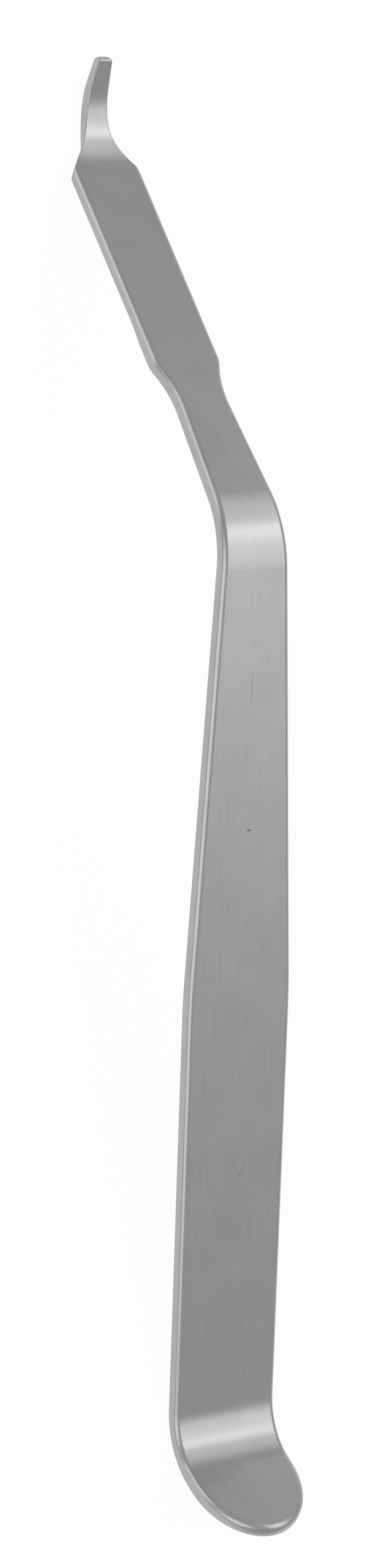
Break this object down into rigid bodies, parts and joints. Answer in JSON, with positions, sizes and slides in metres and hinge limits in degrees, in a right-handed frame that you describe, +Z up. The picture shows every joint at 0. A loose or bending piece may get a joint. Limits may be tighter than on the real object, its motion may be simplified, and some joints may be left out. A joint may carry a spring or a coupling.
{
  "type": "surgical retractor",
  "caption": "Handheld bone-lever retractor: narrow curved beak, flat blade with square shoulders, angled neck and a long flat handle ending in a curled round grip hook.",
  "frame": {"origin": "bottom centre of the bounding box, on the surface the instrument lies on", "axes": "+X from the grip hook towards the beak, +Y across the width, +Z up, with the instrument lying on its back and its hook and beak turned up"},
  "size_m": [0.2532, 0.02, 0.0411],
  "materials": {
    "steel": "satin"
  },
  "bodies": {
    "root": {"retractor": "steel"}
  },
  "joints": []
}
